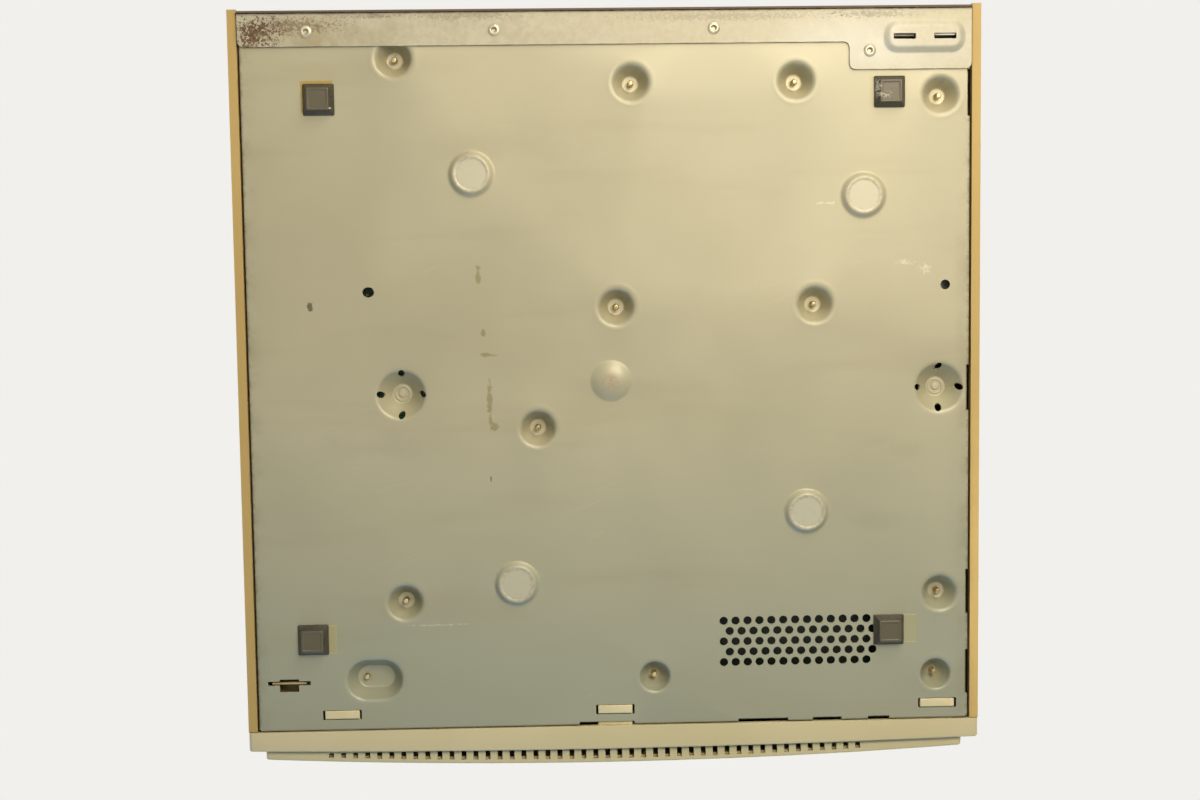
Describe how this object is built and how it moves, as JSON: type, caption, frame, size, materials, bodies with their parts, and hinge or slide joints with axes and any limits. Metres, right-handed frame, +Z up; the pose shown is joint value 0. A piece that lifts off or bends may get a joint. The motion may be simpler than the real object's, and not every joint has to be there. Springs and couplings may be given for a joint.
{
  "type": "desktop home computer",
  "caption": "Low desktop computer case on rubber feet, with a steel bottom pan with pressed screw wells, a plastic cover and a bowed, vented front bezel with two diskette drives.",
  "frame": {"origin": "on the table, under the middle of the whole machine", "axes": "+Z up, +Y to the rear panel, +X to the right of someone who faces the front"},
  "size_m": [0.38, 0.3892, 0.118],
  "materials": {
    "pan_steel": "satin, faintly mottled, worn",
    "flange_steel": "satin, rust along its edges",
    "plain_steel": "galvanised",
    "cast_metal": "cast, dull",
    "screw_steel": "plated, slightly yellow",
    "rivet_steel": "plated",
    "cover_plastic": "yellowed with age",
    "bezel_plastic": "fine grain, slightly yellowed",
    "button_plastic": "satin",
    "dark_plastic": "satin",
    "speaker_steel": "matte black",
    "foot_rubber": "matte, dusty",
    "circuit_board": "lacquered",
    "light_lens": "translucent green",
    "ribbon": "ribbed grey"
  },
  "bodies": {
    "case": {"bottom_pan": "pan_steel", "rear_panel": "flange_steel", "top_cover": "cover_plastic", "front_bezel": "bezel_plastic", "drive_cage": "plain_steel", "drive_a_chassis": "cast_metal", "drive_b_chassis": "cast_metal", "drive_a_face": "bezel_plastic", "drive_b_face": "bezel_plastic", "drive_ribbon": "ribbon", "hard_drive_tray": "plain_steel", "hard_drive": "cast_metal", "motherboard": "circuit_board", "main_processor": "dark_plastic", "memory_module": "circuit_board", "clock_battery": "plain_steel", "riser_card": "circuit_board", "slot_cover_1": "plain_steel", "slot_cover_2": "plain_steel", "slot_cover_3": "plain_steel", "keyboard_port": "dark_plastic", "printer_port": "plain_steel", "serial_port": "plain_steel", "monitor_port": "plain_steel", "power_supply_case": "plain_steel", "power_inlet": "dark_plastic", "fan_frame": "dark_plastic", "power_light": "light_lens", "control_board": "circuit_board", "speaker": "speaker_steel", "foot_rear_right": "foot_rubber", "foot_rear_left": "foot_rubber", "foot_front_right": "foot_rubber", "foot_front_left": "foot_rubber", "flange_rivet_1": "rivet_steel", "flange_rivet_2": "rivet_steel", "flange_rivet_3": "rivet_steel", "flange_rivet_4": "rivet_steel", "screw_board_rear_right": "screw_steel", "screw_board_rear_left": "screw_steel", "screw_board_middle": "screw_steel", "screw_board_front": "screw_steel", "screw_supply_rear_right": "screw_steel", "screw_supply_rear_left": "screw_steel", "screw_supply_front": "screw_steel", "screw_cage_rear": "screw_steel", "screw_tray_rear_left": "screw_steel", "screw_tray_right": "screw_steel", "screw_tray_front_left": "screw_steel", "screw_cage_front": "screw_steel", "cover_screw_left": "screw_steel", "cover_screw_right": "screw_steel"},
    "drive_a_door": {"drive_a_door": "button_plastic"},
    "drive_a_eject": {"drive_a_eject": "button_plastic"},
    "drive_b_door": {"drive_b_door": "button_plastic"},
    "drive_b_eject": {"drive_b_eject": "button_plastic"},
    "fan_rotor": {"fan_rotor": "dark_plastic"},
    "power_button": {"power_button": "button_plastic"},
    "reset_button": {"reset_button": "button_plastic"},
    "volume_wheel": {"volume_wheel": "button_plastic"}
  },
  "joints": [
    {"name": "power_button_push", "type": "slide", "parent": "case", "child": "power_button", "axis": [0, 1, 0], "range_m": [0, 0.003], "stiffness_N_per_m": 500, "springref_m": -0.001},
    {"name": "reset_button_push", "type": "slide", "parent": "case", "child": "reset_button", "axis": [0, 1, 0], "range_m": [0, 0.002], "stiffness_N_per_m": 500, "springref_m": -0.001},
    {"name": "drive_a_eject_push", "type": "slide", "parent": "case", "child": "drive_a_eject", "axis": [0, 1, 0], "range_m": [0, 0.002], "stiffness_N_per_m": 800, "springref_m": -0.001},
    {"name": "drive_b_eject_push", "type": "slide", "parent": "case", "child": "drive_b_eject", "axis": [0, 1, 0], "range_m": [0, 0.002], "stiffness_N_per_m": 800, "springref_m": -0.001},
    {"name": "drive_a_door_swing", "type": "hinge", "parent": "case", "child": "drive_a_door", "pos_m": [0.11445, -0.18806, 0.0459], "axis": [1, 0, 0], "range_deg": [0, 80], "stiffness_Nm_per_rad": 0.01, "springref_deg": -11.46},
    {"name": "drive_b_door_swing", "type": "hinge", "parent": "case", "child": "drive_b_door", "pos_m": [0.11445, -0.18806, 0.0759], "axis": [1, 0, 0], "range_deg": [0, 80], "stiffness_Nm_per_rad": 0.01, "springref_deg": -11.46},
    {"name": "volume_wheel_turn", "type": "hinge", "parent": "case", "child": "volume_wheel", "pos_m": [-0.11796, -0.18327, 0.052], "axis": [0, 0, 1], "range_deg": [-140, 140]},
    {"name": "fan_spin", "type": "hinge", "parent": "case", "child": "fan_rotor", "pos_m": [-0.1388, 0.1767, 0.06001], "axis": [0, 1, 0], "continuous": true}
  ]
}
